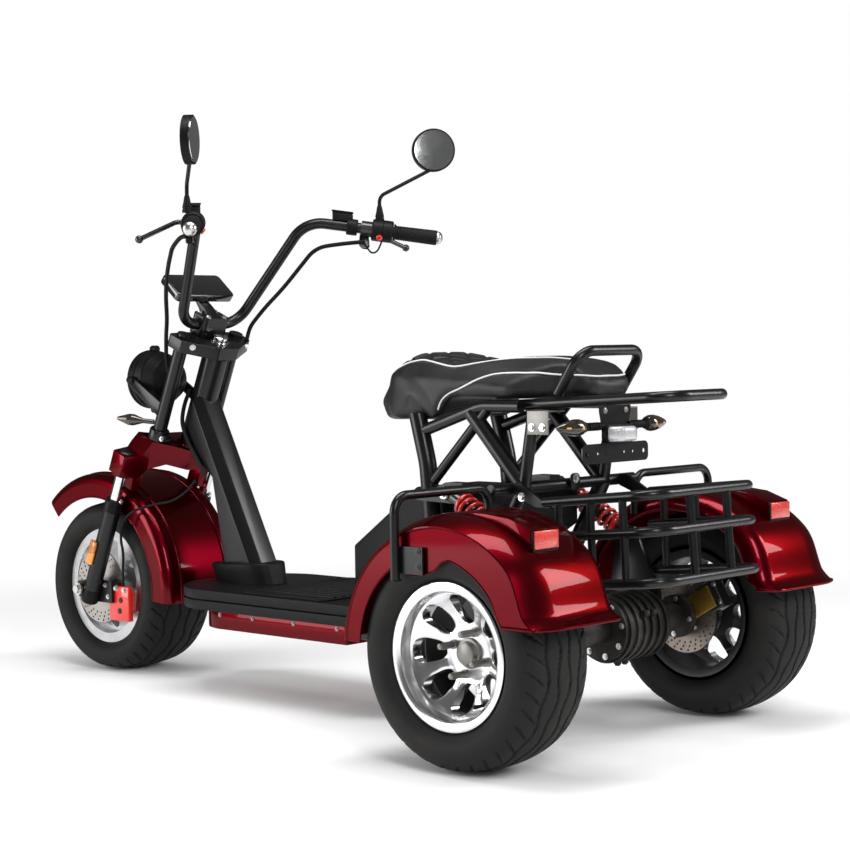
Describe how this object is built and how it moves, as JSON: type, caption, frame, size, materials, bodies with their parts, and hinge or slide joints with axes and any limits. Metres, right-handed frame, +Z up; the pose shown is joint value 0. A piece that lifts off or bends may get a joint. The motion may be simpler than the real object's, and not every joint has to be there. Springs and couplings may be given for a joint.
{
  "type": "three-wheeled electric scooter",
  "caption": "Step-through electric scooter with a single steered front wheel, two driven rear wheels under wide fenders, saddle seat, rack and tube basket.",
  "frame": {"origin": "on the ground under the middle of the scooter's box", "axes": "+X forward, +Y to the rider's left, +Z up"},
  "size_m": [2.0389, 1.0296, 1.3429],
  "materials": {
    "tyre_rubber": "moulded rubber with road tread",
    "polished_alloy": "machined bright",
    "brake_steel": "ground steel",
    "hub_steel": "dark machined steel",
    "dark_casting": "dark cast housing",
    "frame_black": "satin black powder coat",
    "candy_red": "metallic candy red",
    "black_plastic": "moulded black",
    "deck_rubber": "ribbed mat",
    "seat_leather": "black stitched leather",
    "fork_chrome": "polished",
    "zinc_steel": "zinc plated",
    "damper_black": "gloss black",
    "spring_red": "red coated spring",
    "caliper_red": "bright red",
    "gold_bracket": "gold passivated",
    "tail_red": "red reflector",
    "amber_lens": "amber reflector",
    "smoked_lens": "smoked lamp pod",
    "clear_lens": "clear moulded lens",
    "mirror_silver": "silvered",
    "display_black": "gloss screen",
    "battery_case": "plain block"
  },
  "bodies": {
    "chassis": {"basket": "frame_black", "battery_block": "battery_case", "caliper_brackets": "gold_bracket", "deck_case": "candy_red", "deck_mat": "deck_rubber", "drive_axle": "dark_casting", "footboard": "black_plastic", "grab_rail": "frame_black", "guard_hoops": "frame_black", "neck_collar": "black_plastic", "neck_frame": "frame_black", "neck_loom": "black_plastic", "plate_bracket": "frame_black", "plate_lamp": "clear_lens", "rack_clamps": "zinc_steel", "rear_calipers": "damper_black", "rear_fender_left": "candy_red", "rear_fender_right": "candy_red", "rear_frame": "frame_black", "rear_rack": "frame_black", "rear_reflectors": "tail_red", "rear_signals": "smoked_lens", "seat": "seat_leather", "shock_dampers": "damper_black", "shock_springs": "spring_red", "swing_arm": "frame_black", "underseat_box": "black_plastic"},
    "fork": {"fork_yoke": "candy_red", "fork_upper_tubes": "frame_black", "fork_stanchions": "fork_chrome", "fork_legs": "frame_black", "front_axle": "hub_steel", "front_caliper": "caliper_red", "front_fender": "candy_red", "top_clamp": "frame_black", "bar_clamp": "frame_black", "handlebar": "frame_black", "display": "display_black", "headlight": "black_plastic", "headlight_lens": "clear_lens", "headlight_arms": "frame_black", "front_signals": "smoked_lens", "leg_reflectors": "amber_lens", "grips": "deck_rubber", "switch_housings": "black_plastic", "brake_levers": "damper_black", "mirrors": "black_plastic", "mirror_glass": "mirror_silver", "bar_looms": "black_plastic", "brake_hose": "black_plastic"},
    "front_wheel": {"front_tyre": "tyre_rubber", "front_rim": "polished_alloy", "front_disc": "brake_steel"},
    "rear_wheel_left": {"rear_tyre_left": "tyre_rubber", "rear_rim_left": "polished_alloy", "rear_hub_left": "hub_steel"},
    "rear_wheel_right": {"rear_tyre_right": "tyre_rubber", "rear_rim_right": "polished_alloy", "rear_hub_right": "hub_steel"}
  },
  "joints": [
    {"name": "steer", "type": "hinge", "parent": "chassis", "child": "fork", "pos_m": [0.5365, 0, 0.616], "axis": [-0.3987, 0, 0.9171], "range_deg": [-40, 40]},
    {"name": "front_wheel_spin", "type": "hinge", "parent": "fork", "child": "front_wheel", "pos_m": [0.8045, 0, 0.215], "axis": [0, 1, 0], "continuous": true},
    {"name": "rear_left_spin", "type": "hinge", "parent": "chassis", "child": "rear_wheel_left", "pos_m": [-0.7295, 0.389, 0.2245], "axis": [0, 1, 0], "continuous": true},
    {"name": "rear_right_spin", "type": "hinge", "parent": "chassis", "child": "rear_wheel_right", "pos_m": [-0.7295, -0.389, 0.2245], "axis": [0, 1, 0], "continuous": true}
  ]
}
